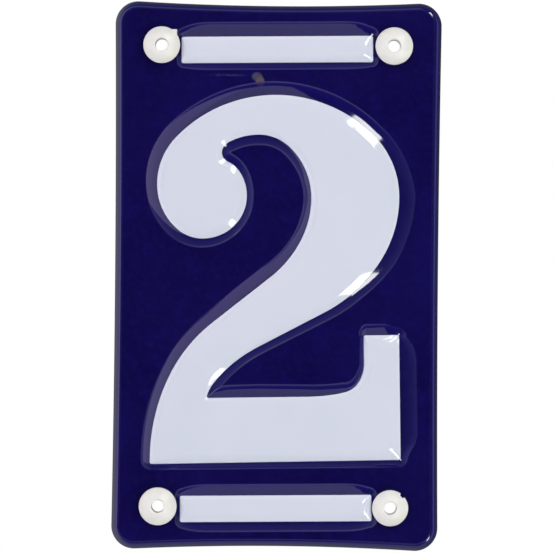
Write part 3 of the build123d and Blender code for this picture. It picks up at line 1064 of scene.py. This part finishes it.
world = bpy.data.worlds.new("studio")
bpy.context.scene.world = world
world.use_nodes = True
sky = world.node_tree
sky.nodes.clear()
direction = sky.nodes.new("ShaderNodeTexCoord").outputs["Generated"]
off_axis = worked_out(sky, "DIVIDE", worked_out(sky, "ARCCOSINE", towards_front(sky, direction)), math.pi)
glow = sky.nodes.new("ShaderNodeValToRGB")
while len(glow.color_ramp.elements) < len(GLOW_STOPS):
    glow.color_ramp.elements.new(0.5)
for element, (at, level) in zip(glow.color_ramp.elements, GLOW_STOPS):
    element.position = at
    element.color = (level, level, level, 1.0)
sky.links.new(off_axis, glow.inputs["Fac"])
print("world has", len(GLOW_STOPS), "levels from the lens to the back")

# %% Dim parts of the world
across = apart(sky, direction)
ray = sky.nodes.new("ShaderNodeLightPath").outputs
mirrored = times(sky, ramp(sky, off_axis, *BEHIND), ramp(sky, across["X"], *TO_RIGHT), ray["Is Glossy Ray"])
level = times(
    sky,
    ramp(sky, across["Z"], *OVERHEAD),
    ramp(sky, across["Z"], *UNDERNEATH),
    worked_out(sky, "SUBTRACT", 1.0, mirrored),
)
plain_white = worked_out(sky, "MAXIMUM", ray["Is Camera Ray"], ray["Is Transmission Ray"])
background = sky.nodes.new("ShaderNodeBackground")
sky.links.new(mixed(sky, plain_white, glow.outputs["Color"], (1.0, 1.0, 1.0)), background.inputs["Color"])
sky.links.new(worked_out(sky, "MAXIMUM", level, plain_white), background.inputs["Strength"])
sky.links.new(background.outputs["Background"], sky.nodes.new("ShaderNodeOutputWorld").inputs["Surface"])
print("world:", len(sky.nodes), "nodes")

# %% [markdown]
# ## Lamps
#
# The highlights on the bowl are small bright rectangles with straight ends, one at the upper right and one
# at the lower right: two long softboxes, set slantwise beside the camera. Each is a wedge of strips that
# get wider away from the lens, because one rectangle would fray the ends of its highlight on a round edge.
# The walls that face left and up show a dim even sheen with straight ends, so a large weak board stands on
# the left and a smaller one above the lens. A soft fill from the front lifts the shadows and isn't seen in
# the gloss.

# %% Softboxes
TARGET = Vector((0, -PLATEAU * MM, 0))
STRIPS, STRIP_TURN, WEDGE, SOFTBOX_LEVEL = (18, 24, 30, 36, 42, 48), 6, 0.24, 14.5
SOFTBOXES = (("upper_right", 49.2, 0.85), ("lower_right", -43.0, 0.7))


def area_lamp(name, middle, axes, width, height, level):
    """A rectangular lamp with its sides along two axes. Power = pi * area * level, the brightness."""
    lamp = bpy.data.lights.new(name, "AREA")
    lamp.shape = "RECTANGLE"
    lamp.size, lamp.size_y = width, height
    lamp.energy = math.pi * width * height * level
    made = bpy.data.objects.new(name, lamp)
    made.matrix_world = Matrix.Translation(middle) @ Matrix(axes).transposed().to_4x4()
    bpy.context.scene.collection.objects.link(made)
    return made


def softbox(name, off_axis, azimuth, length, width, level):
    """A lamp one metre from the plaque and aimed at it. Its length runs away from the lens.

    It stands off the lens by off_axis and round it by azimuth, in degrees.
    """
    off, turn = math.radians(off_axis), math.radians(azimuth)
    outward = Vector((math.cos(turn), 0, math.sin(turn)))
    back = outward * math.sin(off) + Vector((0, -1, 0)) * math.cos(off)
    radial = outward * math.cos(off) - Vector((0, -1, 0)) * math.sin(off)
    return area_lamp(name, TARGET + back, (radial.cross(back), radial, back), width, length, level)


for name, azimuth, broad in SOFTBOXES:
    for off in STRIPS:
        width = WEDGE * broad * math.sin(math.radians(off))
        softbox(f"softbox_{name}_{off}", off, azimuth, math.radians(STRIP_TURN), width, SOFTBOX_LEVEL)
print("softboxes:", len(SOFTBOXES), "of", len(STRIPS), "strips")

# %% Boards
BOARDS = {
    "board_left": ((-3.5, -0.5, -0.97, 2.2), 0.88, (1.0, 0.90, 1.14)),
    "board_above": ((-0.5, 0.25, 0.40, 2.1), 0.62, (1.0, 0.94, 0.98)),
    "fill": ((-0.6, 0.6, -0.6, 0.6), 1.0, (1.0, 1.0, 1.0)),
}


def board(name, edges, level, colour):
    """A dim lamp in the plane one metre in front of the plaque.

    Edges are left, right, bottom and top in metres.
    """
    left, right, bottom, top = edges
    middle = TARGET + Vector(((left + right) / 2, -1, (bottom + top) / 2))
    axes = (Vector((-1, 0, 0)), Vector((0, 0, 1)), Vector((0, -1, 0)))
    lamp = area_lamp(name, middle, axes, right - left, top - bottom, level)
    lamp.data.color = colour
    return lamp


boards = {name: board(name, *sizes) for name, sizes in BOARDS.items()}
boards["fill"].visible_glossy = False
print("boards:", list(boards))

# %% [markdown]
# ## Camera
#
# The photograph looks straight at the plaque through a long lens, and the plaque is turned half a degree
# clockwise in it. One pixel of the 553 is 0.2188 mm on the plaque, which fixes the field of view for a
# chosen distance.

# %% Camera
PIXEL, PICTURE, ROLL, DISTANCE = 120 / 548.5, 553, math.radians(0.5), 1300.0
SENSOR, LOWERED, FAR_CLIP = 36.0, 0.09, 50.0
camera_data = bpy.data.cameras.new("camera")
camera_data.sensor_width = SENSOR
camera_data.lens = SENSOR * DISTANCE / (PIXEL * PICTURE)
camera_data.clip_end = FAR_CLIP
camera = bpy.data.objects.new("camera", camera_data)
bpy.context.scene.collection.objects.link(camera)
right = Vector((math.cos(ROLL), 0, math.sin(ROLL)))
up = Vector((-math.sin(ROLL), 0, math.cos(ROLL)))
turned = Matrix((right, up, Vector((0, -1, 0)))).transposed().to_4x4()
camera.matrix_world = Matrix.Translation((0, -(DISTANCE + GROUND) * MM, -LOWERED * MM)) @ turned
bpy.context.scene.camera = camera
bpy.context.scene.view_settings.view_transform = "Standard"
print("lens", round(camera_data.lens, 1), "mm at", DISTANCE * MM, "m")

# %% [markdown]
# ## Sizes
#
# The dressed plaque stays inside the CAD model's box.

# %% Sizes
bpy.context.view_layer.update()
